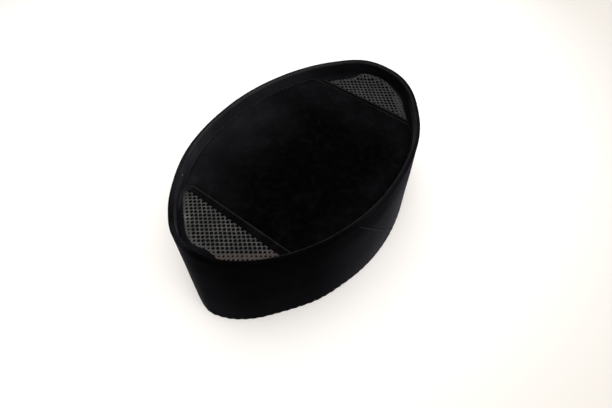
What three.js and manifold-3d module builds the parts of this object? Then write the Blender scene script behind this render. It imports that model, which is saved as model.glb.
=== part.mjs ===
import * as THREE from 'three';
import * as BufferGeometryUtils from 'three/addons/utils/BufferGeometryUtils.js';
import Module from 'manifold-3d';

// A stiff velvet cap with an oval wall, a sunken crown panel and a half-moon net at each end.
// It stands on its hem at z = 0. Its long way lies along Y, and its front faces -Y.
// Sizes are in millimetres.

// The wall leans out at the sides and in at the ends, from the hem's oval to the rim's.
// Slimming is how far each oval's quarters fall inside a true ellipse, as a share.
// The rim is a little higher at the front and back than the cap's mean height, and lower beside.
const capHeight = 82;
const rimSaddle = 1;
const rimHalfWidth = 74.2;
const rimHalfLength = 108;
const rimSlimming = 0.02;
const hemHalfWidth = 70;
const hemHalfLength = 113.7;
const hemSlimming = 0.049;
const wallThickness = 3.8;
const hemRounding = 0.8;

// The crown lies in a recess under the rim. Its panel's rear edge bows back in the middle.
const crownDrop = 10.5;
const panelThickness = 2.2;
const panelFrontEdge = -66;
const panelRearEdge = 76.3;
const rearEdgeBow = 2.5;
const rearEdgeHalf = 46;

// A lip of the wall's velvet is turned in over the edge of the nets, and fades out beside the panel.
const lipThickness = 1.3;
const lipBesidePanel = 0.5;
const lipOverFrontNet = 3.6;
const lipOverRearNet = 3.4;
const lipFade = 8;

// The panel's front edge swings forward where it comes up to the wall at -X.
const flareStart = -34;
const flareEnd = -52;
const flareReach = 6.5;

// A tape with a raised ridge closes each end of the panel and lies over the net's straight edge.
const tapeWidth = 4.8;
const tapeThickness = 1.2;
const ridgeWidth = 1.5;
const ridgeRise = 0.9;

// The nets are a square lattice of round holes, set cornerwise to the cap's long way.
// A net is tucked under its tape, and under the lip as far as the wall.
const netThickness = 1;
const netTuck = 4;
const holePitch = 5.6;
const holeRadius = 1.55;
const holeSides = 8;
const netMargin = 0.8;

// A dark lining is stretched under the whole crown, and shows as black behind the nets' holes.
const liningThickness = 1;

const seamGap = 0.3;
const stepsRound = 96;
const stepsOfRim = 6;
const stepsAcross = 30;

// Cutting solids stand this much proud of what they cut, above and below.
const cutterMargin = 1;

const crownTop = capHeight - crownDrop;
const netTop = crownTop - lipThickness - seamGap;
const netBottom = netTop - netThickness;

const wasm = await Module();
wasm.setup();

const velvet = { color: new THREE.Color(0x0d0d0f), roughness: 0.95, metalness: 0 };
const tapeCloth = { color: new THREE.Color(0x131315), roughness: 0.9, metalness: 0 };
const netThread = { color: new THREE.Color(0x555452), roughness: 0.8, metalness: 0 };
const liningCloth = { color: new THREE.Color(0x0b0b0c), roughness: 0.85, metalness: 0 };

function clampedEase(share) {
  const inside = Math.min(Math.max(share, 0), 1);
  return inside * inside * (3 - 2 * inside);
}

// A point of the wall's outer face at a height, moved in by an inset square to the oval.
function wallPoint(turn, height, inset) {
  const rise = height / capHeight;
  const halfWidth = THREE.MathUtils.lerp(hemHalfWidth, rimHalfWidth, rise);
  const halfLength = THREE.MathUtils.lerp(hemHalfLength, rimHalfLength, rise);
  const slimming = THREE.MathUtils.lerp(hemSlimming, rimSlimming, rise);
  const pull = 1 - slimming * Math.sin(2 * turn) ** 2;
  const pullChange = -2 * slimming * Math.sin(4 * turn);
  const point = new THREE.Vector2(halfWidth * Math.cos(turn) * pull, halfLength * Math.sin(turn) * pull);
  const along = new THREE.Vector2(
    halfWidth * (Math.cos(turn) * pullChange - Math.sin(turn) * pull),
    halfLength * (Math.sin(turn) * pullChange + Math.cos(turn) * pull),
  ).normalize();
  const inward = new THREE.Vector2(-along.y, along.x);
  return point.addScaledVector(inward, inset);
}

function lipWidth(turn) {
  const y = wallPoint(turn, crownTop, 0).y;
  const frontShare = clampedEase((panelFrontEdge + lipFade / 2 - y) / lipFade);
  const rearShare = clampedEase((y - panelRearEdge + lipFade / 2) / lipFade);
  return lipBesidePanel
    + (lipOverFrontNet - lipBesidePanel) * frontShare
    + (lipOverRearNet - lipBesidePanel) * rearShare;
}

function turnOfStep(step) {
  return (2 * Math.PI * step) / stepsRound;
}

// The wall is a closed section carried round the oval. A row's lip says how much of the lip's
// width it takes on, and its saddle how much of the rim's rise and fall.
function sideBandGeometry() {
  const rimRadius = wallThickness / 2;
  const lowerRows = [
    { inset: hemRounding, height: 0, lip: 0, saddle: 0 },
    { inset: 0, height: hemRounding, lip: 0, saddle: 0 },
  ];
  const rimRows = [];
  for (let step = 0; step <= stepsOfRim; step += 1) {
    const turn = (Math.PI * step) / stepsOfRim;
    rimRows.push({
      inset: rimRadius * (1 - Math.cos(turn)),
      height: capHeight - rimRadius + rimRadius * Math.sin(turn),
      lip: 0,
      saddle: 1,
    });
  }
  const innerRows = [
    { inset: wallThickness, height: crownTop, lip: 0, saddle: 0 },
    { inset: wallThickness, height: crownTop, lip: 1, saddle: 0 },
    { inset: wallThickness, height: crownTop - lipThickness, lip: 1, saddle: 0 },
    { inset: wallThickness, height: crownTop - lipThickness, lip: 0, saddle: 0 },
    { inset: wallThickness, height: hemRounding, lip: 0, saddle: 0 },
    { inset: wallThickness - hemRounding, height: 0, lip: 0, saddle: 0 },
  ];
  const rows = [...lowerRows, ...rimRows, ...innerRows];

  const positions = [];
  for (let step = 0; step < stepsRound; step += 1) {
    const turn = turnOfStep(step);
    for (const row of rows) {
      const point = wallPoint(turn, row.height, row.inset + row.lip * lipWidth(turn));
      const rise = -rimSaddle * Math.cos(2 * turn) * row.saddle;
      positions.push(point.x, point.y, row.height + rise);
    }
  }
  const corners = [];
  for (let step = 0; step < stepsRound; step += 1) {
    const here = step * rows.length;
    const next = ((step + 1) % stepsRound) * rows.length;
    for (let row = 0; row < rows.length; row += 1) {
      const above = (row + 1) % rows.length;
      corners.push(here + row, next + row, next + above);
      corners.push(here + row, next + above, here + above);
    }
  }
  const geometry = new THREE.BufferGeometry();
  geometry.setAttribute('position', new THREE.Float32BufferAttribute(positions, 3));
  geometry.setIndex(corners);
  geometry.computeVertexNormals();
  return geometry;
}

// The oval that the crown's pieces fill, a seam gap inside the wall or inside its lip.
function crownOutline(insideLip) {
  const points = [];
  for (let step = 0; step < stepsRound; step += 1) {
    const turn = turnOfStep(step);
    const lip = insideLip ? lipWidth(turn) : 0;
    points.push(wallPoint(turn, crownTop, wallThickness + lip + seamGap));
  }
  return points;
}

function outwardsOf(end) {
  return end === 'front' ? -1 : 1;
}

function panelEdge(end, x) {
  if (end === 'rear') {
    return panelRearEdge - rearEdgeBow * (x / rearEdgeHalf) ** 2;
  }
  return panelFrontEdge - flareReach * clampedEase((x - flareStart) / (flareEnd - flareStart));
}

// A strip across the cap, from one distance beyond the panel's edge to another.
function crossStrip(end, nearest, farthest) {
  const near = [];
  const far = [];
  for (let step = 0; step <= stepsAcross; step += 1) {
    const x = THREE.MathUtils.lerp(-rimHalfWidth, rimHalfWidth, step / stepsAcross);
    near.push(new THREE.Vector2(x, panelEdge(end, x) + outwardsOf(end) * nearest));
    far.push(new THREE.Vector2(x, panelEdge(end, x) + outwardsOf(end) * farthest));
  }
  return [...near, ...far.reverse()];
}

function plate(outline, holes, bottom, thickness) {
  const shape = new THREE.Shape(outline);
  for (const hole of holes) {
    shape.holes.push(new THREE.Path(hole));
  }
  const geometry = new THREE.ExtrudeGeometry(shape, { depth: thickness, bevelEnabled: false });
  return geometry.translate(0, 0, bottom);
}

function toSolid(geometry) {
  const bare = geometry.clone();
  bare.deleteAttribute('normal');
  bare.deleteAttribute('uv');
  const merged = BufferGeometryUtils.mergeVertices(bare, 1e-4);
  return new wasm.Manifold(new wasm.Mesh({
    numProp: 3,
    vertProperties: new Float32Array(merged.attributes.position.array),
    triVerts: new Uint32Array(merged.index.array),
  }));
}

function toGeometry(solid) {
  const mesh = solid.getMesh();
  const geometry = new THREE.BufferGeometry();
  geometry.setAttribute('position', new THREE.Float32BufferAttribute(mesh.vertProperties, 3));
  geometry.setIndex(Array.from(mesh.triVerts));
  geometry.computeVertexNormals();
  return geometry;
}

// A tall solid over the strip, for cutting a plate that lies from bottom up to bottom + thickness.
function stripCutter(end, nearest, bottom, thickness) {
  const height = thickness + 2 * cutterMargin;
  return toSolid(plate(crossStrip(end, nearest, rimHalfLength), [], bottom - cutterMargin, height));
}

function crownPanelGeometry() {
  const bottom = crownTop - panelThickness;
  const whole = toSolid(plate(crownOutline(true), [], bottom, panelThickness));
  const beyondFront = stripCutter('front', 0, bottom, panelThickness);
  const beyondRear = stripCutter('rear', 0, bottom, panelThickness);
  return toGeometry(whole.subtract(beyondFront).subtract(beyondRear));
}

function hemTapeGeometry(end) {
  const bottom = crownTop - lipThickness;
  const height = tapeThickness + ridgeRise;
  const flat = toSolid(plate(crossStrip(end, seamGap, tapeWidth), [], bottom, tapeThickness));
  const ridge = toSolid(plate(crossStrip(end, seamGap, seamGap + ridgeWidth), [], bottom, height));
  const cutterHeight = height + 2 * cutterMargin;
  const withinWall = toSolid(plate(crownOutline(true), [], bottom - cutterMargin, cutterHeight));
  return toGeometry(flat.add(ridge).intersect(withinWall));
}

function roundHole(x, y) {
  const corners = [];
  for (let side = 0; side < holeSides; side += 1) {
    const turn = (2 * Math.PI * (side + 0.5)) / holeSides;
    corners.push(new THREE.Vector2(x + holeRadius * Math.cos(turn), y + holeRadius * Math.sin(turn)));
  }
  return corners;
}

// How far a point of the net lies inside the lip's edge. It is negative outside.
function lipClearance(x, y) {
  const centre = new THREE.Vector2(x, y);
  const edge = crownOutline(true);
  const nearest = Math.min(...edge.map((corner) => corner.distanceTo(centre)));
  const inside = edge.every((corner, index) => {
    const side = edge[(index + 1) % edge.length].clone().sub(corner);
    return side.cross(centre.clone().sub(corner)) > 0;
  });
  return inside ? nearest : -nearest;
}

// The holes that lie whole between the tape and the lip.
function netHoles(end) {
  const diagonal = holePitch / Math.SQRT2;
  const firstRow = panelEdge(end, 0) + outwardsOf(end) * (tapeWidth + netMargin + holeRadius);
  const reach = Math.ceil(rimHalfWidth / diagonal);
  const holes = [];
  for (let row = -reach; row <= reach; row += 1) {
    for (let column = -reach; column <= reach; column += 1) {
      const x = (row + column) * diagonal;
      const y = firstRow + (row - column) * diagonal;
      const fromTape = outwardsOf(end) * (y - panelEdge(end, x)) - tapeWidth;
      const least = holeRadius + netMargin - seamGap;
      if (fromTape > least && lipClearance(x, y) > least) {
        holes.push(roundHole(x, y));
      }
    }
  }
  return holes;
}

function ventNetGeometry(end) {
  const whole = toSolid(plate(crownOutline(false), netHoles(end), netBottom, netThickness));
  const fromUnderTape = stripCutter(end, tapeWidth - netTuck, netBottom, netThickness);
  return toGeometry(whole.intersect(fromUnderTape));
}

function liningGeometry() {
  const bottom = netBottom - seamGap - liningThickness;
  return plate(crownOutline(false), [], bottom, liningThickness);
}

function piece(name, geometry, finish) {
  const mesh = new THREE.Mesh(geometry, new THREE.MeshStandardMaterial(finish));
  mesh.name = name;
  return mesh;
}

const songkok = new THREE.Group();
songkok.add(piece('side_band', sideBandGeometry(), velvet));
songkok.add(piece('crown_panel', crownPanelGeometry(), velvet));
for (const end of ['front', 'rear']) {
  songkok.add(piece(`${end}_hem_tape`, hemTapeGeometry(end), tapeCloth));
  songkok.add(piece(`${end}_vent_net`, ventNetGeometry(end), netThread));
}
songkok.add(piece('crown_lining', liningGeometry(), liningCloth));

export default songkok;
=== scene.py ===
"""A black velvet songkok: a stiff oval cap with a sunken crown panel and a net at each end of it."""

import bisect
import math
import random

import bmesh
import bpy
from mathutils import Matrix, Vector, noise


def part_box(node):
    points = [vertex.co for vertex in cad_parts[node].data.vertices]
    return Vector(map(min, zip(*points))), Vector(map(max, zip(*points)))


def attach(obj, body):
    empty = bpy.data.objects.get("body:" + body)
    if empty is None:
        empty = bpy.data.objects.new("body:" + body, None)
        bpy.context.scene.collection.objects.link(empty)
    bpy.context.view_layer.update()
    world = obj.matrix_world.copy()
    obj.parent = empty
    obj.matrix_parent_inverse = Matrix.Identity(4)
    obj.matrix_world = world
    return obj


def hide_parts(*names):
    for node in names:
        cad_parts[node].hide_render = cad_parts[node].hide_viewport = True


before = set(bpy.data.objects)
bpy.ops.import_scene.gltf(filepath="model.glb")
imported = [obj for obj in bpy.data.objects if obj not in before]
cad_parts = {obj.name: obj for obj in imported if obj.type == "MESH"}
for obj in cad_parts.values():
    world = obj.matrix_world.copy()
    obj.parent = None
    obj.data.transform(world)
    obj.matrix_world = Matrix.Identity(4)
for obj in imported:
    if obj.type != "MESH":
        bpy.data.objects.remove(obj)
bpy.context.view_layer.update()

# Sizes are in metres. The cap stands on its hem, its long way lies along Y, and its front faces -Y.
# Its left and right are -X and +X, as someone sees them who looks at its front.
# The wall leans out at the sides and in at the ends, from the hem's oval to the rim's.
# Slimming is how far each oval's quarters fall inside a true ellipse, as a share.
cap_height = 0.082
rim_saddle = 0.001
rim_half_width = 0.0742
rim_half_length = 0.108
rim_slimming = 0.02
hem_half_width = 0.07
hem_half_length = 0.1137
hem_slimming = 0.049
wall_thickness = 0.0038
rim_radius = wall_thickness / 2
hem_rounding = 0.0008

# The wall is spun round the Z axis at this radius, and each point is then moved to its own place.
# The lining is spun out to the same radius.
spun_radius = 0.1
steps_round = 480

# The frame gives the heights of the crown's layers.
crown_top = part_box("crown_panel")[1].z
panel_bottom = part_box("crown_panel")[0].z
tape_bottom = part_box("front_hem_tape")[0].z
net_bottom, net_top = (corner.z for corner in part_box("front_vent_net"))
lining_bottom, lining_top = (corner.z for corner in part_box("crown_lining"))

# The panel's straight edges both climb a little along X. The front one swings forward at its left
# end, and the rear one bows back in the middle.
panel_front_edge = -0.065
front_edge_climb = 0.03
flare_start = -0.0405
flare_end = -0.0535
flare_reach = 0.0065
panel_rear_edge = 0.0751
rear_edge_climb = 0.024
rear_edge_bow = 0.0006
rear_edge_half = 0.046

# The wall's velvet turns in over the crown's edge as a lip: a raised welt beside the panel, and
# wider over the nets. It is sewn by hand, so its width changes. Each pair is an x and a width.
lip_radius = 0.00065
lip_beside_panel = 0.0013
lip_fade = 0.008
welt_rise = 0.0006
lip_over_net = {
    "front": (
        (-0.05, 0.0015), (-0.046, 0.0021), (-0.041, 0.0032), (-0.03, 0.0043), (-0.012, 0.005),
        (-0.005, 0.0062), (0.001, 0.0078), (0.006, 0.0083), (0.01, 0.0074), (0.022, 0.0036),
    ),
    "rear": (
        (-0.052, 0.0062), (-0.046, 0.0058), (-0.036, 0.0056), (-0.0265, 0.0054), (-0.025, 0.0036),
        (-0.0225, 0.0015), (-0.0195, 0.0003), (-0.004, 0.0003), (0.0085, 0.0014), (0.018, 0.002),
        (0.027, 0.0026), (0.036, 0.0037), (0.044, 0.0038),
    ),
}

# Handling has pushed the wall out of true. Each place has its turn round the oval and half its
# width, both in degrees, and how far it stands out at the rim and at the hem.
bulges = (
    (34, 22, 0.0009, 0.0003), (106, 19, 0.0016, 0), (207, 24, 0.001, 0.0001), (257, 14, 0.0008, 0),
    (272, 9, 0, 0.0006), (310, 9, 0, -0.0004), (330, 14, 0, 0.0009),
)

# The tape along each straight edge, with a piped ridge next to the panel. The front one widens
# along X.
seam_gap = 0.0003
tape_width = {"front": 0.0055, "rear": 0.0023}
tape_spread = {"front": 0.012, "rear": 0}
tape_thickness = 0.0012
ridge_width = 0.0019
ridge_rise = 0.0009

# A line across the crown and the width of the crown there are found together, from a first guess.
first_half_width = 0.05
settling_rounds = 8

# The stitches that hold each tape down, in the dip beyond its ridge. They keep some room from the lip.
stitch_spacing = 0.0033
stitch_length = 0.0019
stitch_radius = 0.00014
stitch_room = 0.001
stitch_line = {"front": 0.003, "rear": 0.0021}
stitch_row_reach = {"front": 0.046, "rear": 0.043}
fibre_sides = 6

# The nets' holes lie in staggered rows across the cap, not quite level with the tape. Each net has
# the spacing of its holes, the x and y of one knot, and how much its rows climb along X. Hole reach
# is from a hole's middle to its corners, and net reach counts the holes each way from that knot.
net_lattice = {"front": (0.00474, 0.00271, -0.07093, 0.02), "rear": (0.0049, 0.0007, 0.08026, -0.054)}
row_spacing = 0.00184
hole_reach = 0.00198
net_thread = 0.00065
knot_rise = 0.00014
net_reach = 26

random.seed(7)


def lerp(start, end, share):
    return start + (end - start) * share


def ease(share):
    inside = min(max(share, 0.0), 1.0)
    return inside * inside * (3 - 2 * inside)


def eased_along(places, where):
    """The value at a place, eased between pairs of a place and its value."""
    value = places[0][1]
    for (here, _), (there, next_value) in zip(places, places[1:]):
        value += (next_value - value) * ease((where - here) / (there - here))
    return value


def wall_point(turn, height, inset):
    """A point of the wall's outer face, moved in by an inset square to the oval."""
    rise = height / cap_height
    half_width = lerp(hem_half_width, rim_half_width, rise)
    half_length = lerp(hem_half_length, rim_half_length, rise)
    slimming = lerp(hem_slimming, rim_slimming, rise)
    pull = 1 - slimming * math.sin(2 * turn) ** 2
    pull_change = -2 * slimming * math.sin(4 * turn)
    across, along = math.cos(turn), math.sin(turn)
    point = Vector((half_width * across * pull, half_length * along * pull))
    way = Vector((
        half_width * (across * pull_change - along * pull),
        half_length * (along * pull_change + across * pull),
    )).normalized()
    degrees = math.degrees(turn) % 360
    for middle, reach, at_rim, at_hem in bulges:
        inset -= lerp(at_hem, at_rim, rise) * ease(1 - abs(degrees - middle) / reach)
    return point + Vector((-way.y, way.x)) * inset


def net_share(turn):
    """The end that a place on the wall belongs to, and how far it is beside that end's net."""
    y = wall_point(turn, crown_top, 0).y
    if y < 0:
        return "front", ease((panel_front_edge + lip_fade / 2 - y) / lip_fade)
    return "rear", ease((y - panel_rear_edge + lip_fade / 2) / lip_fade)


def lip_width(turn):
    """How far the lip reaches in from the wall: wide over the nets and narrow beside the panel."""
    end, share = net_share(turn)
    x = wall_point(turn, crown_top, 0).x
    return lerp(lip_beside_panel, eased_along(lip_over_net[end], x), share)


def outwards(end):
    return -1 if end == "front" else 1


def panel_edge(end, x):
    """The y of the panel's edge at an x."""
    if end == "rear":
        return panel_rear_edge + rear_edge_climb * x - rear_edge_bow * (x / rear_edge_half) ** 2
    flare = flare_reach * ease((x - flare_start) / (flare_end - flare_start))
    return panel_front_edge + front_edge_climb * x - flare


def across_panel(x, share):
    """The y at a share of the way from the panel's front edge to its rear one."""
    return lerp(panel_edge("front", x), panel_edge("rear", x), share)


def tape_reach(end, x):
    """How far beyond the panel's edge the tape reaches at an x."""
    return tape_width[end] + tape_spread[end] * x


def across_tape(end, x, share):
    """How far beyond the panel's edge a share of the tape's width lies."""
    return lerp(seam_gap, tape_reach(end, x), share)


def lip_point(turn):
    """A point of the lip's inner edge."""
    return wall_point(turn, crown_top, wall_thickness + lip_width(turn))


def lip_side(side):
    """The lip's edge on its left, -1, or right, 1, as its y values, rising, with the x at each."""
    steps = 720
    turns = [math.pi * (step / steps - 0.5) for step in range(steps + 1)]
    if side < 0:
        turns = [math.pi - turn for turn in turns]
    points = sorted(tuple(lip_point(turn).yx) for turn in turns)
    return [y for y, x in points], [x for y, x in points]


lip_outline = {side: lip_side(side) for side in (-1, 1)}
lip_edge_steps = 240
lip_edge = [lip_point(2 * math.pi * step / lip_edge_steps) for step in range(lip_edge_steps)]


def lip_x(side, y):
    """The x of the lip's edge at a y, on one side."""
    lengths, across = lip_outline[side]
    place = min(max(bisect.bisect(lengths, y), 1), len(lengths) - 1)
    share = (y - lengths[place - 1]) / max(lengths[place] - lengths[place - 1], 1e-9)
    return lerp(across[place - 1], across[place], min(max(share, 0.0), 1.0))


def across_crown(share, y, overlap):
    """The x at a share, from -1 to 1, of the crown's width at a y. The overlap lies under the lip."""
    left = lip_x(-1, y) - overlap
    right = lip_x(1, y) + overlap
    return lerp(left, right, (share + 1) / 2)


def crown_point(share, y_at, overlap):
    """A place at a share of the crown's width, on a line across it whose y changes with x."""
    x = share * first_half_width
    for _ in range(settling_rounds):
        y = y_at(x)
        x = across_crown(share, y, overlap)
    return x, y


def from_lip(x, y):
    """How far a place on the crown lies inside the lip, along X. It is negative outside."""
    return min(x - lip_x(-1, y), lip_x(1, y) - x)


def ripple(x, y, z, size):
    """Smooth unevenness between -1 and 1, whose waves are about that size."""
    return noise.noise(Vector((x, y, z)) / size)


def add(tree, kind, inputs=(), **settings):
    """Adds a shader node, with its settings, and its inputs linked or set."""
    made = tree.nodes.new(kind)
    for name, value in settings.items():
        setattr(made, name, value)
    for name, value in dict(inputs).items():
        if isinstance(value, bpy.types.NodeSocket):
            tree.links.new(value, made.inputs[name])
        else:
            made.inputs[name].default_value = value
    return made


def node_group(name, inputs, outputs):
    """A shader node group with named inputs, each with its kind and first value, and named outputs."""
    tree = bpy.data.node_groups.new(name, "ShaderNodeTree")
    for label, (kind, value) in inputs.items():
        socket = tree.interface.new_socket(name=label, in_out="INPUT", socket_type="NodeSocket" + kind)
        if value is not None:
            socket.default_value = value
    for label, kind in outputs.items():
        tree.interface.new_socket(name=label, in_out="OUTPUT", socket_type="NodeSocket" + kind)
    return tree, tree.nodes.new("NodeGroupInput").outputs, tree.nodes.new("NodeGroupOutput").inputs


def add_group(tree, group, inputs):
    return add(tree, "ShaderNodeGroup", inputs, node_tree=group).outputs


def colour_mix(tree, share, first, second):
    """A mix of two colours. The mix node's sockets for colours are known by their numbers alone."""
    made = add(tree, "ShaderNodeMix", {0: share, 6: first, 7: second}, data_type="RGBA")
    return made.outputs[2]


def maths(tree, operation, first, second):
    made = add(tree, "ShaderNodeMath", {0: first, 1: second}, operation=operation)
    return made.outputs[0]


def mapped(tree, value, low, high, new_low=0.0, new_high=1.0):
    """A value brought from one range smoothly to another."""
    made = add(
        tree,
        "ShaderNodeMapRange",
        {"Value": value, "From Min": low, "From Max": high, "To Min": new_low, "To Max": new_high},
        interpolation_type="SMOOTHSTEP",
    )
    return made.outputs["Result"]


def scaled(tree, vector, stretch):
    made = add(tree, "ShaderNodeMapping", {"Vector": vector, "Scale": stretch})
    return made.outputs["Vector"]


def times(tree, vector, share):
    """A colour or another vector times a share."""
    made = add(tree, "ShaderNodeVectorMath", {0: vector, "Scale": share}, operation="SCALE")
    return made.outputs[0]


def pile_group():
    """Velvet's pile: brushed patches that catch the light, press marks, and a fine uneven nap."""
    tree, given, result = node_group(
        "velvet_pile",
        {
            "Vector": ("Vector", None),
            "Deep": ("Color", (0.002, 0.002, 0.002, 1)),
            "Brushed": ("Color", (0.006, 0.006, 0.006, 1)),
            "Patch Waves": ("Float", 45.0),
            "Patch Share": ("Float", 0.5),
            "Nap": ("Float", 0.0),
        },
        {"Colour": "Color", "Height": "Float"},
    )
    drift = add(tree, "ShaderNodeTexNoise", {"Vector": given["Vector"], "Scale": 30.0, "Detail": 2.0})
    drifted = times(tree, drift.outputs["Color"], 0.02)
    shifted = add(tree, "ShaderNodeVectorMath", {0: given["Vector"], 1: drifted}, operation="ADD")
    patches = add(
        tree, "ShaderNodeTexNoise",
        {"Vector": shifted.outputs[0], "Scale": given["Patch Waves"], "Detail": 3.0, "Roughness": 0.55},
    )
    strokes = add(
        tree, "ShaderNodeTexNoise",
        {"Vector": scaled(tree, shifted.outputs[0], (260.0, 90.0, 160.0)), "Scale": 1.0, "Detail": 2.0},
    )
    brushed = maths(
        tree, "MULTIPLY",
        mapped(tree, patches.outputs["Fac"], 0.42, 0.72),
        mapped(tree, strokes.outputs["Fac"], 0.25, 0.7, 0.35, 1.0),
    )
    patchy = mapped(tree, patches.outputs["Fac"], 0.25, 0.75, 0.85, 1.15)
    leaning = maths(tree, "MULTIPLY", given["Nap"], patchy)
    lit = maths(tree, "ADD", leaning, maths(tree, "MULTIPLY", brushed, given["Patch Share"]))
    tinted = colour_mix(tree, maths(tree, "MINIMUM", lit, 1.0), given["Deep"], given["Brushed"])
    nap = add(tree, "ShaderNodeTexNoise", {"Vector": given["Vector"], "Scale": 2600.0, "Detail": 1.0})
    tufts = add(tree, "ShaderNodeTexNoise", {"Vector": given["Vector"], "Scale": 700.0, "Detail": 2.0})
    speckled = colour_mix(
        tree, mapped(tree, nap.outputs["Fac"], 0.35, 0.75, 0.0, 0.35), tinted, (0.0004, 0.0004, 0.0005, 1)
    )
    fine = maths(tree, "MULTIPLY", nap.outputs["Fac"], 0.00006)
    coarse = maths(tree, "MULTIPLY", tufts.outputs["Fac"], 0.00009)
    wide = maths(tree, "MULTIPLY", patches.outputs["Fac"], 0.0011)
    tree.links.new(speckled, result["Colour"])
    tree.links.new(maths(tree, "ADD", wide, maths(tree, "ADD", fine, coarse)), result["Height"])
    return tree


def dust_group():
    """Fine pale dust: a faint uneven film, thicker where the mask says."""
    tree, given, result = node_group(
        "dust_film",
        {
            "Vector": ("Vector", None),
            "Colour": ("Color", (0.01, 0.01, 0.01, 1)),
            "Dust": ("Color", (0.2, 0.17, 0.14, 1)),
            "Amount": ("Float", 0.1),
            "Mask": ("Float", 0.0),
        },
        {"Colour": "Color"},
    )
    film = add(tree, "ShaderNodeTexNoise", {"Vector": given["Vector"], "Scale": 240.0, "Detail": 4.0})
    uneven = mapped(tree, film.outputs["Fac"], 0.4, 0.75)
    thick = maths(tree, "MULTIPLY", given["Mask"], mapped(tree, film.outputs["Fac"], 0.2, 0.6, 0.4, 1.0))
    share = maths(tree, "ADD", maths(tree, "MULTIPLY", uneven, given["Amount"]), thick)
    dusty = colour_mix(tree, maths(tree, "MINIMUM", share, 1.0), given["Colour"], given["Dust"])
    tree.links.new(dusty, result["Colour"])
    return tree


def weave_group():
    """A plain weave of fine threads, with paler and darker stretches."""
    tree, given, result = node_group(
        "plain_weave",
        {
            "Vector": ("Vector", None),
            "Colour": ("Color", (0.01, 0.01, 0.01, 1)),
            "Threads": ("Float", 1800.0),
        },
        {"Colour": "Color", "Height": "Float"},
    )
    warp, weft = (
        add(
            tree, "ShaderNodeTexWave",
            {"Vector": given["Vector"], "Scale": given["Threads"], "Distortion": 0.6, "Detail": 1.0},
            bands_direction=direction,
        ).outputs["Fac"]
        for direction in "XY"
    )
    woven = maths(tree, "MAXIMUM", warp, weft)
    slub = add(tree, "ShaderNodeTexNoise", {"Vector": given["Vector"], "Scale": 160.0, "Detail": 3.0})
    shade = maths(
        tree, "MULTIPLY",
        mapped(tree, woven, 0.1, 0.9, 0.35, 1.0), mapped(tree, slub.outputs["Fac"], 0.3, 0.7, 0.7, 1.3),
    )
    tree.links.new(times(tree, given["Colour"], shade), result["Colour"])
    tree.links.new(maths(tree, "MULTIPLY", woven, 0.0001), result["Height"])
    return tree


pile = pile_group()
dust_film = dust_group()
weave = weave_group()


def cloth_material(name, roughness, sheen, sheen_roughness, sheen_tint, specular):
    """A plain cloth's material, its tree, its shader and the piece's own coordinates."""
    material = bpy.data.materials.new(name)
    material.use_nodes = True
    tree = material.node_tree
    shader = tree.nodes["Principled BSDF"]
    shader.inputs["Roughness"].default_value = roughness
    shader.inputs["Specular IOR Level"].default_value = specular
    shader.inputs["Sheen Weight"].default_value = sheen
    shader.inputs["Sheen Roughness"].default_value = sheen_roughness
    shader.inputs["Sheen Tint"].default_value = sheen_tint
    place = add(tree, "ShaderNodeTexCoord").outputs["Object"]
    return material, tree, shader, place


def raised(tree, height, strength):
    """A surface raised by a height in metres."""
    bump = add(tree, "ShaderNodeBump", {"Height": height, "Strength": strength, "Distance": 1.0})
    return bump.outputs["Normal"]


def velvet_material(name, deep, brushed, patch_waves, patch_share, sheen, sheen_tint, dust):
    """Velvet from deep to brushed, by the pile's lean and painted light, with dust where the piece is
    worn, whose mask also paints highlights.
    """
    material, tree, shader, place = cloth_material(name, 0.9, sheen, 0.2, sheen_tint, 0.0)
    leaning = add(tree, "ShaderNodeAttribute", attribute_name="nap").outputs["Fac"]
    nap = add_group(tree, pile, {
        "Vector": place, "Deep": deep, "Brushed": brushed,
        "Patch Waves": patch_waves, "Patch Share": patch_share, "Nap": leaning,
    })
    # The wear mask also carries painted highlights on lip edges, the rim's inner line and tape ridges,
    # which the dust film pales.
    worn_and_lit = add(tree, "ShaderNodeAttribute", attribute_name="wear_and_highlight").outputs["Fac"]
    dusty = add_group(tree, dust_film, {
        "Vector": place, "Colour": nap["Colour"], "Dust": (0.05, 0.047, 0.047, 1), "Amount": dust,
        "Mask": maths(tree, "MULTIPLY", worn_and_lit, 0.12),
    })
    tree.links.new(dusty["Colour"], shader.inputs["Base Color"])
    tree.links.new(raised(tree, nap["Height"], 0.7), shader.inputs["Normal"])
    return material


def net_material():
    """Grey knitted thread, with brown dust gathered along the near edge."""
    material, tree, shader, place = cloth_material("net_thread", 0.62, 0.12, 0.4, (0.9, 0.9, 1, 1), 0.3)
    twist = add(
        tree, "ShaderNodeTexWave",
        {"Vector": place, "Scale": 900.0, "Distortion": 6.0, "Detail": 2.0, "Detail Scale": 2.0},
        bands_direction="DIAGONAL",
    )
    blotches = add(tree, "ShaderNodeTexNoise", {"Vector": place, "Scale": 120.0, "Detail": 3.0})
    shade = maths(
        tree, "MULTIPLY",
        mapped(tree, blotches.outputs["Fac"], 0.3, 0.7, 0.68, 1.2),
        mapped(tree, twist.outputs["Fac"], 0.0, 1.0, 0.55, 1.22),
    )
    dull = add(tree, "ShaderNodeAttribute", attribute_name="dull").outputs["Fac"]
    shade = maths(tree, "MULTIPLY", shade, maths(tree, "SUBTRACT", 1.0, dull))
    thread = times(tree, (0.0555, 0.0534, 0.051), shade)
    dirt = add(tree, "ShaderNodeAttribute", attribute_name="dirt").outputs["Fac"]
    dusty = add_group(tree, dust_film, {
        "Vector": place, "Colour": thread, "Dust": (0.034, 0.024, 0.019, 1), "Amount": 0.05, "Mask": dirt,
    })
    tree.links.new(dusty["Colour"], shader.inputs["Base Color"])
    twisted = raised(tree, maths(tree, "MULTIPLY", twist.outputs["Fac"], 0.00012), 0.8)
    tree.links.new(twisted, shader.inputs["Normal"])
    return material


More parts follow.
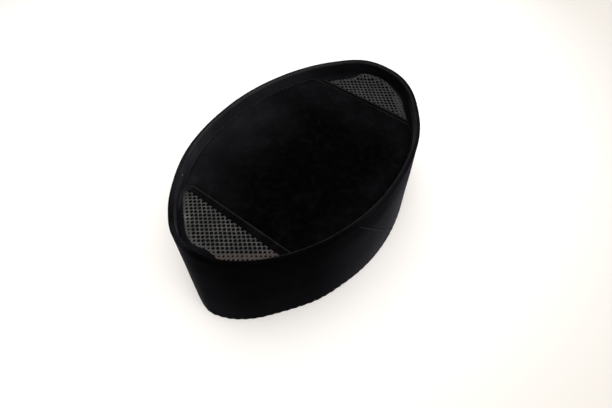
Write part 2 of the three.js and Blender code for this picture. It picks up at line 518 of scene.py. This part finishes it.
def woven_material(name, colour, roughness, threads):
    material, tree, shader, place = cloth_material(name, roughness, 0.012, 0.4, (0.9, 0.9, 1, 1), 0.1)
    cloth = add_group(tree, weave, {"Vector": place, "Colour": colour, "Threads": threads})
    tree.links.new(cloth["Colour"], shader.inputs["Base Color"])
    tree.links.new(raised(tree, cloth["Height"], 0.6), shader.inputs["Normal"])
    return material


def plain_thread_material(name, colour, roughness, twist_scale, sheen):
    material, tree, shader, place = cloth_material(name, roughness, sheen, 0.4, (1, 1, 1, 1), 0.1)
    twist = add(
        tree, "ShaderNodeTexWave", {"Vector": place, "Scale": twist_scale, "Distortion": 1.0},
        bands_direction="DIAGONAL",
    )
    shade = mapped(tree, twist.outputs["Fac"], 0.0, 1.0, 0.6, 1.2)
    tree.links.new(times(tree, colour, shade), shader.inputs["Base Color"])
    twisted = raised(tree, maths(tree, "MULTIPLY", twist.outputs["Fac"], 0.00005), 0.6)
    tree.links.new(twisted, shader.inputs["Normal"])
    return material


band_velvet = velvet_material(
    "band_velvet", deep=(0.0011, 0.0011, 0.0013, 1), brushed=(0.03, 0.0293, 0.0345, 1),
    patch_waves=30.0, patch_share=0.02, sheen=0.07, sheen_tint=(0.86, 0.86, 1, 1), dust=0.01,
)
crown_velvet = velvet_material(
    "crown_velvet", deep=(0.0007, 0.0007, 0.0008, 1), brushed=(0.009, 0.0088, 0.0101, 1),
    patch_waves=55.0, patch_share=0.12, sheen=0.05, sheen_tint=(0.88, 0.88, 1, 1), dust=0.015,
)
tape_velvet = velvet_material(
    "tape_velvet", deep=(0.0009, 0.0009, 0.001, 1), brushed=(0.009, 0.009, 0.0092, 1),
    patch_waves=90.0, patch_share=0.2, sheen=0.07, sheen_tint=(0.95, 0.95, 1, 1), dust=0.02,
)
net_thread_look = net_material()
lining_look = woven_material(
    "lining_cloth", colour=(0.0008, 0.0008, 0.0009, 1), roughness=0.75, threads=900.0
)
stitch_look = plain_thread_material(
    "sewing_thread", colour=(0.0022, 0.0022, 0.0024), roughness=0.8, twist_scale=2400.0, sheen=0.01
)
lint_look = plain_thread_material(
    "lint_fluff", colour=(0.34, 0.33, 0.31), roughness=0.9, twist_scale=1500.0, sheen=0.1
)


def placed(name, data):
    """A new object in the scene."""
    made = bpy.data.objects.new(name, data)
    bpy.context.scene.collection.objects.link(made)
    return made


def finished(name, bm, materials):
    """Turns a bmesh into a named, smooth piece that rides on the cap."""
    bmesh.ops.recalc_face_normals(bm, faces=bm.faces)
    mesh = bpy.data.meshes.new(name)
    bm.to_mesh(mesh)
    bm.free()
    mesh.shade_smooth()
    for material in materials:
        mesh.materials.append(material)
    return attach(placed(name, mesh), "root")


def closed_below(bm, bottom_at):
    """Gives an open sheet an underside, so that it is a closed body."""
    made = bmesh.ops.extrude_face_region(bm, geom=list(bm.faces))["geom"]
    for vertex in [part for part in made if isinstance(part, bmesh.types.BMVert)]:
        vertex.co.z = bottom_at(vertex.co)


def arc(inset, height, radius, first, last, steps):
    """Points round an arc of the wall's section. Angle 0 points outwards and 90 up."""
    angles = [math.radians(lerp(first, last, step / steps)) for step in range(steps + 1)]
    return [(inset - radius * math.cos(angle), height + radius * math.sin(angle)) for angle in angles]


def straight(start, end, steps):
    """The points between two ends, without the ends."""
    shares = [step / steps for step in range(1, steps)]
    return [(lerp(start[0], end[0], share), lerp(start[1], end[1], share)) for share in shares]


def wall_section():
    """The wall's section from the hem up, over the rim, round the lip and down the inside.

    Each point has its inset, its height, and the share of the lip's width that moves it in.
    """
    inner = wall_thickness
    outer_hem = arc(hem_rounding, hem_rounding, hem_rounding, -90, 0, 4)
    rim = arc(rim_radius, cap_height - rim_radius, rim_radius, 0, 180, 16)
    lip = arc(inner - lip_radius, crown_top - lip_radius, lip_radius, 90, 270, 10)
    inner_hem = arc(inner - hem_rounding, hem_rounding, hem_rounding, 180, 270, 4)
    above_lip = (inner, crown_top)
    below_lip = (inner, crown_top - 2 * lip_radius)
    points = [
        *outer_hem, *straight(outer_hem[-1], rim[0], 28), *rim,
        *straight(rim[-1], above_lip, 10), above_lip,
    ]
    section = [(inset, height, 0) for inset, height in points]
    section += [(inset, height, 1) for inset, height in lip]
    inside = [below_lip, *straight(below_lip, inner_hem[0], 14), *inner_hem]
    return section + [(inset, height, 0) for inset, height in inside]


def hem_run():
    """How far along the hem each step of the wall lies."""
    points = [wall_point(2 * math.pi * step / steps_round, 0, 0) for step in range(steps_round + 1)]
    runs = [0.0]
    for here, there in zip(points, points[1:]):
        runs.append(runs[-1] + (there - here).length)
    return runs


# The stitches round the hem draw it in and lift it a little, and cloth and rim are never quite even.
hem_runs = hem_run()
hem_tucks = 92
hem_tuck_height = 0.009
hem_pull = 0.00045
hem_lift = 0.00028
wall_unevenness = 0.00022
rim_unevenness = 0.0003


def tuck(turn, height):
    """How strongly the hem's stitches pull at a place. It fades up the wall and differs round it."""
    step = round(turn / (2 * math.pi) * steps_round) % steps_round
    along = hem_runs[step] / hem_runs[-1]
    strength = 0.55 + 0.45 * ripple(math.cos(turn), math.sin(turn), 3.7, 0.5)
    wave = 0.5 - 0.5 * math.cos(2 * math.pi * hem_tucks * along)
    return wave * strength * (1 - ease(height / hem_tuck_height))


def wall_place(turn, inset, height, lip):
    """Where a point of the wall's section comes to lie on the cap."""
    rise = height / cap_height
    shift = lip * lip_width(turn)
    side = wall_point(turn, height, inset + shift)
    uneven = wall_unevenness * ripple(side.x, side.y, height, 0.03) * ease(rise * 3) * (1 - lip)
    pulled = hem_pull * tuck(turn, height)
    flat = wall_point(turn, height, inset + shift + uneven + pulled)
    saddle = -rim_saddle * math.cos(2 * turn) * ease((height - crown_top) / (cap_height - crown_top))
    wavy_rim = rim_unevenness * ripple(side.x, side.y, 5.0, 0.04) * ease((height - crown_top) / 0.008)
    lifted = hem_lift * tuck(turn, height) * (1 - ease(height / 0.003))
    lifted += lip * welt_rise * (1 - net_share(turn)[1])
    return Vector((flat.x, flat.y, height + saddle + wavy_rim + lifted))


# A faint crease runs down the right side, from under the rim back to the hem. Its cuts are places
# across it, as shares of its reach, which is half its width.
crease_top = Vector((0.0716, -0.0243, 0.0767))
crease_foot = Vector((0.0675, 0.0271, 0.0064))
crease_across = (crease_foot - crease_top).cross(Vector((1, 0, 0))).normalized()
crease_reach = 0.0012
crease_cuts = (-1, -0.7, -0.45, -0.2, 0, 0.25, 0.5, 0.75, 1)
crease_sink = 0.0002
crease_rise = 0.00016
right_side_from = 0.055


def press_crease(bm):
    """Cuts loops along the crease into the outer face, sinks its upper half and lifts its lower one."""
    for offset in crease_cuts:
        right = [face for face in bm.faces if face.calc_center_median().x > right_side_from]
        parts = {part for face in right for part in (face, *face.edges, *face.verts)}
        centre = crease_top + crease_across * offset * crease_reach
        bmesh.ops.bisect_plane(bm, geom=list(parts), dist=1e-6, plane_co=centre, plane_no=crease_across)
    nap = bm.verts.layers.float["nap"]
    for vertex in bm.verts:
        off = (vertex.co - crease_top).dot(crease_across) / crease_reach
        height = vertex.co.z
        half_width = lerp(hem_half_width, rim_half_width, height / cap_height)
        half_length = lerp(hem_half_length, rim_half_length, height / cap_height)
        turn = math.atan2(vertex.co.y / half_length, vertex.co.x / half_width)
        from_outer_face = (vertex.co.xy - wall_point(turn, height, 0)).length
        if abs(off) < 1 and vertex.co.x > right_side_from and from_outer_face < 0.001:
            fade = ease(height / 0.02) * (1 - ease((height - 0.07) / 0.009))
            fade *= 0.85 + 0.5 * ripple(vertex.co.y, height, 3.3, 0.006)
            groove = max(0, 1 - abs(off + 0.5) / 0.5)
            fold = max(0, 1 - abs(off - 0.4) / 0.6)
            vertex.co.x += (crease_rise * ease(fold) - crease_sink * ease(groove)) * fade
            # The raised fold gets a painted highlight and the sunk groove a painted shade.
            leaning = lerp(0.4, 0.55, ease((height - 0.035) / 0.03))
            vertex[nap] += (leaning * ease(fold) - 0.08 * groove) * fade


# How far the wall's velvet is lightened, by the turn in degrees: on the inner face partly by the pile's
# lean and partly as painted light, and on the outer face and near the hem as painted sheen where the side
# is seen at a grazing angle and lit from the floor. The front is at 270 in the first table and at -90 in
# the others.
nap_inside = ((0, 0.1), (118, 0.18), (158, 0.6), (185, 0.6), (205, 0.98), (250, 0.98), (280, 0.1))
outer_nap_and_sheen = (
    (-180, 0.19), (-150, 0.17), (-85, 0.105), (-60, 0.03), (-36, 0.03), (2, 0.36), (60, 0.27),
    (90, 0.19),
)
painted_hem_sheen = (
    (-180, 0.2), (-130, 0.1), (-60, 0.07), (-20, 0.07), (4, 0.52), (14, 0.27), (60, 0.33), (100, 0.2),
)

# Under the rim a painted shadow takes away a share of that lightening on the outside, from a height up,
# also by the turn.
painted_shade_under_rim = ((-30, 0.5), (0, 0.85), (32, 0.98), (60, 0.6))
painted_shade_from_height = ((0, 0.053), (13, 0.052), (26, 0.036), (60, 0.036))
painted_shade_fade = 0.018

# A line along the rim's inner side is paled, partly as wear and partly as a painted highlight.
rim_line_inset = 0.0034
rim_line_reach = 0.0012


def signed_degrees(turn):
    """A turn in degrees, from -180 to 180."""
    return (math.degrees(turn) + 180) % 360 - 180


def nap_on_inner_face(x, y, z, degrees, inset):
    """Most on the left, partly as painted light; less at the foot beside the crown and in a soft fold's
    shade low at the front left, both painted shade; and a painted highlight on a stretch of lip.
    """
    leaning = eased_along(nap_inside, degrees)
    # Painted shade at the foot of the inner face, beside the crown.
    leaning *= lerp(0.5, 1, ease((z - crown_top - 0.0004) / 0.0015))
    fold_shade = 0.75 * ease((degrees - 205) / 25) * (1 - ease((degrees - 250) / 30))
    fold_shade *= 1 - ease((z - 0.0722) / 0.0045)
    leaning *= (1 - fold_shade) * (0.9 + 0.2 * ripple(x, y, 9.1 + z, 0.01))
    if z < crown_top + 0.0001 and inset > wall_thickness - lip_radius * 0.6:
        leaning += 0.6 * ease(1 - abs(degrees - 231) / 10)
    return leaning


def rim_nap_and_painted_sheen(x, y):
    """Painted sheen, more on the left and towards the rear; also lighter at the left of the front end."""
    front_end = 0.2 * ease((-y - 0.096) / 0.008) * ease((0.007 - x) / 0.014)
    return 0.24 * ease((-x - 0.02) / 0.03) + 0.11 * ease((y + 0.055) / 0.06) + front_end


def outer_nap_and_painted_sheen(z, degrees):
    """Painted sheen, more near the hem and half way up the right side, and less under the rim, where a
    painted shadow falls.
    """
    side = eased_along(outer_nap_and_sheen, degrees)
    low = eased_along(painted_hem_sheen, degrees) * (1 - ease(z / 0.05))
    middle = 0.46 * ease((degrees - 4) / 14) * (1 - ease((degrees - 50) / 30))
    middle *= ease(1 - abs(z - 0.043) / 0.028)
    shaded_under_rim = ease((z - eased_along(painted_shade_from_height, degrees)) / painted_shade_fade)
    return (side + low + middle) * (1 - eased_along(painted_shade_under_rim, degrees) * shaded_under_rim)


def wall_nap_and_painted_light(turn, place, inset):
    """How far the wall's velvet is lightened at a place, by the pile's lean and by painted light and
    shade.
    """
    x, y, z = place
    if inset > 0.002 and crown_top - lip_radius < z < cap_height - 0.0012:
        return nap_on_inner_face(x, y, z, math.degrees(turn), inset)
    if z > cap_height - 0.003:
        return rim_nap_and_painted_sheen(x, y)
    return outer_nap_and_painted_sheen(z, signed_degrees(turn))


def wall_wear_and_highlight(turn, inset, height, lip):
    """How far the wall's pile is paled by wear and dust and by painted highlight: on the lip's edge and
    along the rim's inner side.
    """
    if lip and height > crown_top - lip_radius:
        return 0.9 * ease((inset - wall_thickness + lip_radius * 0.7) / (lip_radius * 0.5))
    if height <= cap_height - rim_radius:
        return 0.0
    strength = lerp(0.5, 2.5, ease((signed_degrees(turn) + 58) / 14))
    return strength * (1 - min(abs(inset - rim_line_inset) / rim_line_reach, 1))


def make_wall():
    bm = bmesh.new()
    lip_share = bm.verts.layers.float.new("lip")
    wear_and_highlight = bm.verts.layers.float.new("wear_and_highlight")
    nap = bm.verts.layers.float.new("nap")
    chain = []
    for inset, height, lip in wall_section():
        vertex = bm.verts.new((spun_radius - inset, 0, height))
        vertex[lip_share] = lip
        chain.append(vertex)
    edges = [bm.edges.new((here, there)) for here, there in zip(chain, chain[1:] + chain[:1])]
    bmesh.ops.spin(
        bm, geom=chain + edges, cent=(0, 0, 0), axis=(0, 0, 1), dvec=(0, 0, 0),
        angle=2 * math.pi, steps=steps_round, use_merge=True,
    )
    for face in bm.faces:
        middle = face.calc_center_median()
        inner = spun_radius - middle.xy.length > wall_thickness * 0.9
        face.material_index = 1 if inner and hem_rounding < middle.z < crown_top - lip_radius else 0
    for vertex in bm.verts:
        turn = math.atan2(vertex.co.y, vertex.co.x) % (2 * math.pi)
        inset = spun_radius - vertex.co.xy.length
        height = vertex.co.z
        vertex[wear_and_highlight] = wall_wear_and_highlight(turn, inset, height, vertex[lip_share])
        vertex.co = wall_place(turn, inset, height, vertex[lip_share])
        vertex[nap] = wall_nap_and_painted_light(turn, vertex.co, inset)
    press_crease(bm)
    wall = finished("velvet_wall", bm, [band_velvet, lining_look])
    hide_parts("side_band")


# The panel's and the tapes' meshes, and how far each reaches in under the lip.
panel_segments = 130
tape_columns = 200
tape_rows = 34
panel_overlap = 0.0002
tape_overlap = 0.0004


def panel_height(x, y):
    """The panel is drawn down a little at its seams and lies in soft waves between them."""
    from_side = from_lip(x, y)
    from_front = y - panel_edge("front", x)
    from_rear = panel_edge("rear", x) - y
    from_seam = min(from_side, from_front, from_rear)
    waves = 0.00045 * ripple(x, y, 0.3, 0.028) + 0.00018 * ripple(x, y, 1.3, 0.009)
    drawn = 0.0007 * (1 - ease(from_seam / 0.0016)) + 0.0004 * (1 - ease(from_seam / 0.008))
    return crown_top + 0.0002 + waves * ease(from_seam / 0.01) - drawn


def panel_nap_and_sheen(x, y):
    """How far the panel's velvet is lightened: partly brushed pile, partly painted sheen where the view
    grazes.

    Most along its left side, some at its other edges, with a lit roll at the rear seam and fine strokes.
    """
    left = 0.75 * max(0.0, -x / 0.06) ** 1.7 * (1 - 0.6 * ease((y - 0.015) / 0.035))
    edges = 0.16 * ease((x - 0.04) / 0.025) + 0.2 * ease((y - 0.035) / 0.025)
    edges += 0.13 * ease((-y - 0.04) / 0.02) * ease((0.022 - x) / 0.03)
    edges += 0.2 * ease((-y - 0.057) / 0.005) * ease((-x - 0.042) / 0.004)
    mottled = 1 + 0.22 * ripple(x, y, 8.2, 0.014)
    rolled_edge = ease(1 - abs(panel_edge("rear", x) - y - 0.0011) / 0.0011)
    strokes = (0.2 + 0.55 * ease((x - 0.01) / 0.015)) * rolled_edge
    strokes += 0.09 * ease(ripple(x * 0.6 + y * 0.25, y * 0.6 - x * 0.25, 2.9, 0.004) * 2.2 - 0.25)
    return (left + edges) * mottled + strokes - 0.02


def make_panel():
    bm = bmesh.new()
    nap = bm.verts.layers.float.new("nap")
    bmesh.ops.create_grid(bm, x_segments=panel_segments, y_segments=panel_segments, size=1)
    for vertex in bm.verts:
        share = (vertex.co.y + 1) / 2
        x, y = crown_point(vertex.co.x, lambda here: across_panel(here, share), panel_overlap)
        vertex.co = (x, y, panel_height(x, y))
        vertex[nap] = panel_nap_and_sheen(x, y)
    flat_area = sum(face.calc_area() for face in bm.faces)
    closed_below(bm, lambda place: panel_bottom)
    panel = finished("crown_panel_velvet", bm, [crown_velvet])
    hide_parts("crown_panel")


def off_ridge(beyond):
    """How far a place lies off the middle of the tape's ridge, as a share of half the ridge's width."""
    return (beyond - seam_gap - ridge_width / 2) / (ridge_width / 2)


def tape_height(beyond, x, end):
    """The tape's section: a piped ridge next to the panel, a flat strip, and a rounded outer edge."""
    off = off_ridge(beyond)
    top = tape_bottom + tape_thickness
    pucker = 0.0001 * math.cos(x / stitch_spacing * 2 * math.pi)
    pucker += 0.00016 * ripple(x, beyond, 2.2, 0.006)
    if abs(off) < 1:
        return top + ridge_rise * math.sqrt(1 - off * off) + pucker
    to_edge = (tape_reach(end, x) - beyond) / 0.0007
    rounding = 0.0006 * (1 - math.sqrt(max(0.0, 1 - max(0.0, 1 - to_edge) ** 2)))
    return top + pucker - rounding - 0.0002 * ease((beyond - ridge_width) / 0.003)


def tape_nap_and_highlight(x, on_ridge, end):
    """How far the tape's velvet is lightened: a painted highlight on the ridge, and lighter at the front
    one's left end.
    """
    if end == "rear":
        return 0.1 + 0.4 * on_ridge
    strip = lerp(0.36, 0.09, ease((x + 0.047) / 0.05)) + 0.85 * ease((-x - 0.04) / 0.004)
    return strip + lerp(0.4, 0.16, ease((x + 0.01) / 0.04)) * on_ridge ** 2


def make_tape(end):
    bm = bmesh.new()
    wear_and_highlight = bm.verts.layers.float.new("wear_and_highlight")
    nap = bm.verts.layers.float.new("nap")
    bmesh.ops.create_grid(bm, x_segments=tape_columns, y_segments=tape_rows, size=1)
    for vertex in bm.verts:
        share = (vertex.co.y + 1) / 2
        x, y = crown_point(
            vertex.co.x,
            lambda here: panel_edge(end, here) + outwards(end) * across_tape(end, here, share),
            tape_overlap,
        )
        beyond = across_tape(end, x, share)
        vertex.co = (x, y, tape_height(beyond, x, end))
        on_ridge = max(0.0, 1 - off_ridge(beyond) ** 2)
        worn_end = 0.7 * ease((-x - 0.042) / 0.004) if end == "front" else 0.0
        # The wear mask carries a painted highlight along the ridge's crest.
        vertex[wear_and_highlight] = max(on_ridge, worn_end)
        vertex[nap] = tape_nap_and_highlight(x, on_ridge, end)
    closed_below(bm, lambda place: tape_bottom)
    tape = finished(end + "_tape_velvet", bm, [tape_velvet])
    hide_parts(end + "_hem_tape")


def add_fibre(bm, start, way, bend, length, radius, steps):
    """A short thread: a small ring drawn out step by step, turning a little at each."""
    ring = bmesh.ops.create_circle(bm, cap_ends=True, segments=fibre_sides, radius=radius)["verts"]
    side = way.cross(Vector((0, 0, 1))).normalized()
    bmesh.ops.transform(bm, matrix=way.to_track_quat("Z", "Y").to_matrix(), verts=ring)
    bmesh.ops.translate(bm, vec=start, verts=ring)
    place = Vector(start)
    for _ in range(steps):
        tip = next(face for face in ring[0].link_faces if all(vertex in ring for vertex in face.verts))
        made = bmesh.ops.extrude_face_region(bm, geom=[tip])["geom"]
        bmesh.ops.delete(bm, geom=[tip], context="FACES_ONLY")
        ring = [part for part in made if isinstance(part, bmesh.types.BMVert)]
        step = way * length / steps
        bmesh.ops.translate(bm, vec=step, verts=ring)
        place += step
        turning = Matrix.Rotation(bend / steps, 3, side)
        bmesh.ops.rotate(bm, cent=place, matrix=turning, verts=ring)
        way = turning @ way


def make_stitches(end):
    """A row of short stitches along the tape, each a little out of line, as far as the lip."""
    bm = bmesh.new()
    count = int(stitch_row_reach[end] / stitch_spacing)
    for step in range(-count, count + 1):
        x = (step + 0.5) * stitch_spacing + random.uniform(-0.0003, 0.0003)
        y = panel_edge(end, x) + outwards(end) * stitch_line[end]
        left, right = x - stitch_room, x + stitch_room
        if from_lip(left, y) < stitch_room or from_lip(right, y) < stitch_room:
            continue
        slant = (panel_edge(end, right) - panel_edge(end, left)) / (right - left)
        way = Vector((1, slant + random.uniform(-0.08, 0.08), 0.3)).normalized()
        start = Vector((x, y, tape_height(stitch_line[end], x, end))) - way * stitch_length / 2
        start.z += 0.00012
        add_fibre(bm, start, way, 0.6, stitch_length, stitch_radius, 4)
    stitches = finished(end + "_tape_stitches", bm, [stitch_look])


# Lint caught on the pile. On the wall each bit has its turn in degrees, height, inset and length, and
# on the crown its x, y and length.
lint_radius = 0.0001
lint_on_wall = (
    (221.5, 0.0776, 0.0038, 0.0012), (219.6, 0.0813, 0.0011, 0.0009), (92, 0.052, 0, 0.0011),
    (148, 0.033, 0, 0.001),
)
lint_on_crown = ((-0.0166, 0.0985, 0.0015), (-0.0215, 0.0925, 0.001))


def make_lint():
    bm = bmesh.new()
    for degrees, height, inset, length in lint_on_wall:
        turn = math.radians(degrees)
        away = (wall_point(turn, height, 0) - wall_point(turn, height, 0.001)).normalized()
        out = Vector((*away, 0)) * (-1 if inset > rim_radius else 1)
        along = Vector((-out.y, out.x, random.uniform(-0.8, 0.8))).normalized()
        start = wall_place(turn, inset, height, 0) + out * 0.00012
        add_fibre(bm, start, along, random.uniform(-1.5, 1.5), length, lint_radius, 5)
    for x, y, length in lint_on_crown:
        turn = random.uniform(0, math.pi)
        along = Vector((math.cos(turn), math.sin(turn), 0.05)).normalized()
        start = Vector((x, y, panel_height(x, y) + 0.0002))
        add_fibre(bm, start, along, random.uniform(0.2, 0.8), length, lint_radius, 5)
    lint = finished("lint", bm, [lint_look])


def from_tape(x, y, end):
    return outwards(end) * (y - panel_edge(end, x)) - tape_reach(end, x)


def from_lip_square(x, y):
    """How far a place on the net lies inside the lip, square to the lip's edge."""
    nearest = min((point - Vector((x, y))).length for point in lip_edge)
    inside = from_lip(x, y) > 0 and lip_outline[1][0][0] < y < lip_outline[1][0][-1]
    return nearest if inside else -nearest


def net_border(x, y, end):
    """How far a place on the net is in its closed border, which is wider along the right side."""
    inside = from_lip_square(x, y)
    if end == "front":
        width = lerp(0.0025, 0.0078, ease((x - 0.009) / 0.006))
    else:
        width = lerp(0.0025, 0.006, ease((x - 0.012) / 0.01))
    return 1 - ease((inside - width * 0.75) / (width * 0.4))


# On the front net, a spot of dirt beside the tape and a pale worn spot near the lip.
dirt_spot = Vector((0.0115, -0.0705))
worn_spot = Vector((-0.0272, -0.0868))
rear_net_dullness = 0.47
rear_net_rise = 0.0016


def net_dirt(x, y, end):
    """How dirty the net is at a place: only the front one is, in its right border and at one spot."""
    if end == "rear":
        return 0.0
    spot = 1 - ease(((Vector((x, y)) - dirt_spot).length - 0.001) / 0.0015)
    return max(net_border(x, y, end) * ease((x - 0.008) / 0.006), spot)


def net_dullness(x, y, end):
    """How much the net's thread is darkened at a place. The front one is palest at its left."""
    if end == "rear":
        return rear_net_dullness
    by_lip = 1 - ease((from_lip_square(x, y) - 0.0012) / 0.0015)
    by_lip *= ease((y + 0.084) / 0.004) * ease(-x / 0.01)
    corner = 0.55 * max(ease((-x - 0.036) / 0.005), by_lip)
    worn_and_lit = 0.7 * (1 - ease(((Vector((x, y)) - worn_spot).length - 0.001) / 0.0035))
    return 0.28 * ease((x + 0.045) / 0.035) + 0.08 * ease(x / 0.02) + corner - worn_and_lit


def net_height(x, y, end):
    """The net hangs a little unevenly, and the left of the rear one rides up where it meets the lip."""
    height = lerp(net_bottom, net_top, 0.5) + 0.00025 * ripple(x, y, 4.4, 0.012)
    if end == "rear":
        ride_up = ease((x + 0.024) / 0.004) * (1 - ease((x - 0.002) / 0.008))
        height += rear_net_rise * ride_up * (1 - ease(from_lip_square(x, y) / 0.006))
    return height


def make_net(end):
    """A knitted net of round holes, made from rhombs that each hold one hole."""
    bm = bmesh.new()
    dirt = bm.verts.layers.float.new("dirt")
    dull = bm.verts.layers.float.new("dull")
    bmesh.ops.create_grid(bm, x_segments=2 * net_reach, y_segments=2 * net_reach, size=net_reach)
    hole_spacing, knot_x, knot_y, climb = net_lattice[end]
    for vertex in bm.verts:
        u, v = vertex.co.x, vertex.co.y
        x = knot_x + (u - v) * hole_spacing / 2
        vertex.co = (x, knot_y + (u + v) * row_spacing + climb * x, 0)
    spare = hole_spacing / 2
    outside = []
    for face in bm.faces:
        x, y, _ = face.calc_center_median()
        if from_tape(x, y, end) < -spare or abs(x) > rim_half_width or from_lip_square(x, y) < -spare:
            outside.append(face)
    bmesh.ops.delete(bm, geom=outside, context="FACES")
    flat_area = sum(face.calc_area() for face in bm.faces)
    bmesh.ops.inset_individual(bm, faces=bm.faces, thickness=row_spacing * 0.3, depth=0)
    holes = [face for face in bm.faces if all(len(vertex.link_faces) == 3 for vertex in face.verts)]
    for face in holes:
        centre = face.calc_center_median()
        open_share = lerp(1, 0.5, net_border(centre.x, centre.y, end))
        open_share *= 1 + 0.14 * ripple(centre.x, centre.y, 7.7, 0.0035)
        for vertex in face.verts:
            away = vertex.co - centre
            vertex.co = centre + away.normalized() * hole_reach * open_share
    bmesh.ops.delete(bm, geom=holes, context="FACES_ONLY")
    for vertex in bm.verts:
        x, y, _ = vertex.co
        knot = knot_rise if len(vertex.link_faces) > 2 else 0.0
        vertex.co.z = net_height(x, y, end) + knot
        vertex[dirt] = net_dirt(x, y, end)
        vertex[dull] = net_dullness(x, y, end)
    net = finished(end + "_net", bm, [net_thread_look])
    thickness = net.modifiers.new("thread", "SOLIDIFY")
    thickness.thickness = net_thread
    thickness.offset = 0
    smoothing = net.modifiers.new("smoothing", "SUBSURF")
    smoothing.levels = smoothing.render_levels = 2
    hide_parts(end + "_vent_net")


# The lining is a round of rings and spokes, and sags a little from its edge.
lining_rings = 26
lining_spokes = 160
lining_sag = 0.0006
lining_below_top = 0.0004
lining_share_of_solid = 0.6


def make_lining():
    """A dark cloth under the whole crown. It shows through the nets' holes and from below."""
    bm = bmesh.new()
    places = [spun_radius * ring / lining_rings for ring in range(lining_rings + 1)]
    chain = [bm.verts.new((place, 0, 0)) for place in places]
    edges = [bm.edges.new((here, there)) for here, there in zip(chain, chain[1:])]
    bmesh.ops.spin(
        bm, geom=chain + edges, cent=(0, 0, 0), axis=(0, 0, 1), dvec=(0, 0, 0),
        angle=2 * math.pi, steps=lining_spokes, use_merge=True,
    )
    bmesh.ops.remove_doubles(bm, verts=bm.verts, dist=1e-6)
    for vertex in bm.verts:
        turn = math.atan2(vertex.co.y, vertex.co.x)
        share = vertex.co.xy.length / spun_radius
        edge = wall_point(turn, crown_top, wall_thickness)
        x, y = edge.x * share, edge.y * share
        sag = lining_sag * (1 - share ** 4) + 0.0005 * ripple(x, y, 6.1, 0.02) * (1 - share ** 6)
        vertex.co = (x, y, lining_top - lining_below_top - sag)
    flat_area = sum(face.calc_area() for face in bm.faces)
    thickness = (lining_top - lining_bottom) * lining_share_of_solid
    closed_below(bm, lambda place: place.z - thickness)
    lining = finished("crown_lining_cloth", bm, [lining_look])
    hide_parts("crown_lining")


def make_floor():
    """Pale paper with a painted light falloff: lightest round a place to the cap's left and darker away
    from it.
    """
    bm = bmesh.new()
    bmesh.ops.create_grid(bm, x_segments=1, y_segments=1, size=4)
    mesh = bpy.data.meshes.new("floor")
    bm.to_mesh(mesh)
    bm.free()
    floor = placed("floor", mesh)
    paper = bpy.data.materials.new("floor_paper")
    paper.use_nodes = True
    tree = paper.node_tree
    shader = tree.nodes["Principled BSDF"]
    from_middle = add(tree, "ShaderNodeVectorMath", {
        0: add(tree, "ShaderNodeTexCoord").outputs["Object"], 1: (-0.19, 0.06, 0),
    }, operation="DISTANCE").outputs["Value"]
    painted_light_falloff = colour_mix(
        tree, mapped(tree, from_middle, 0.27, 0.47), (0.86, 0.827, 0.797, 1), (0.6, 0.57, 0.535, 1)
    )
    tree.links.new(painted_light_falloff, shader.inputs["Base Color"])
    shader.inputs["Roughness"].default_value = 0.9
    shader.inputs["Specular IOR Level"].default_value = 0.1
    mesh.materials.append(paper)


def make_camera():
    """The photograph's view: from above the cap's front right, with a wide lens held a little turned."""
    turn, rise, tilt = math.radians(45.212), math.radians(54.371), math.radians(-5.693)
    distance = 0.36869
    aside, above = -0.00229, 0.019048
    focus = Vector((0, 0, 0.045))
    back = Vector((math.sin(turn) * math.cos(rise), -math.cos(turn) * math.cos(rise), math.sin(rise)))
    level = Vector((math.cos(turn), math.sin(turn), 0))
    upright = back.cross(level)
    right = level * math.cos(tilt) + upright * math.sin(tilt)
    up = upright * math.cos(tilt) - level * math.sin(tilt)
    lens = bpy.data.cameras.new("camera")
    lens.lens = 28
    lens.sensor_width = 36
    lens.clip_start = 0.01
    camera = placed("camera", lens)
    camera.matrix_world = (
        Matrix.Translation(focus + back * distance - right * aside - up * above)
        @ Matrix((right, up, back)).transposed().to_4x4()
    )
    bpy.context.scene.camera = camera


def soft_light(name, place, size, power, colour):
    lamp = bpy.data.lights.new(name, "AREA")
    lamp.shape = "DISK"
    lamp.size = size
    lamp.energy = power
    lamp.color = colour
    made = placed(name, lamp)
    made.location = place
    made.rotation_mode = "QUATERNION"
    made.rotation_quaternion = (-Vector(place)).to_track_quat("-Z", "Y")


def make_studio():
    world = bpy.data.worlds.new("studio")
    world.use_nodes = True
    sky = world.node_tree.nodes["Background"]
    sky.inputs["Color"].default_value = (1, 0.995, 0.985, 1)
    sky.inputs["Strength"].default_value = 0.4
    bpy.context.scene.world = world
    soft_light("window", (0.45, 1.35, 1.15), 1.5, 9, (1, 1, 1))
    soft_light("overhead", (-0.6, 0.1, 1.7), 1.6, 15, (1, 0.99, 0.97))
    soft_light("front_softbox", (0.75, -0.25, 1.6), 1.6, 25, (1, 1, 1))
    bpy.context.scene.view_settings.view_transform = "Standard"


make_camera()
make_studio()
make_floor()
make_wall()
make_panel()
make_lining()
for cap_end in ("front", "rear"):
    make_tape(cap_end)
    make_stitches(cap_end)
    make_net(cap_end)
make_lint()
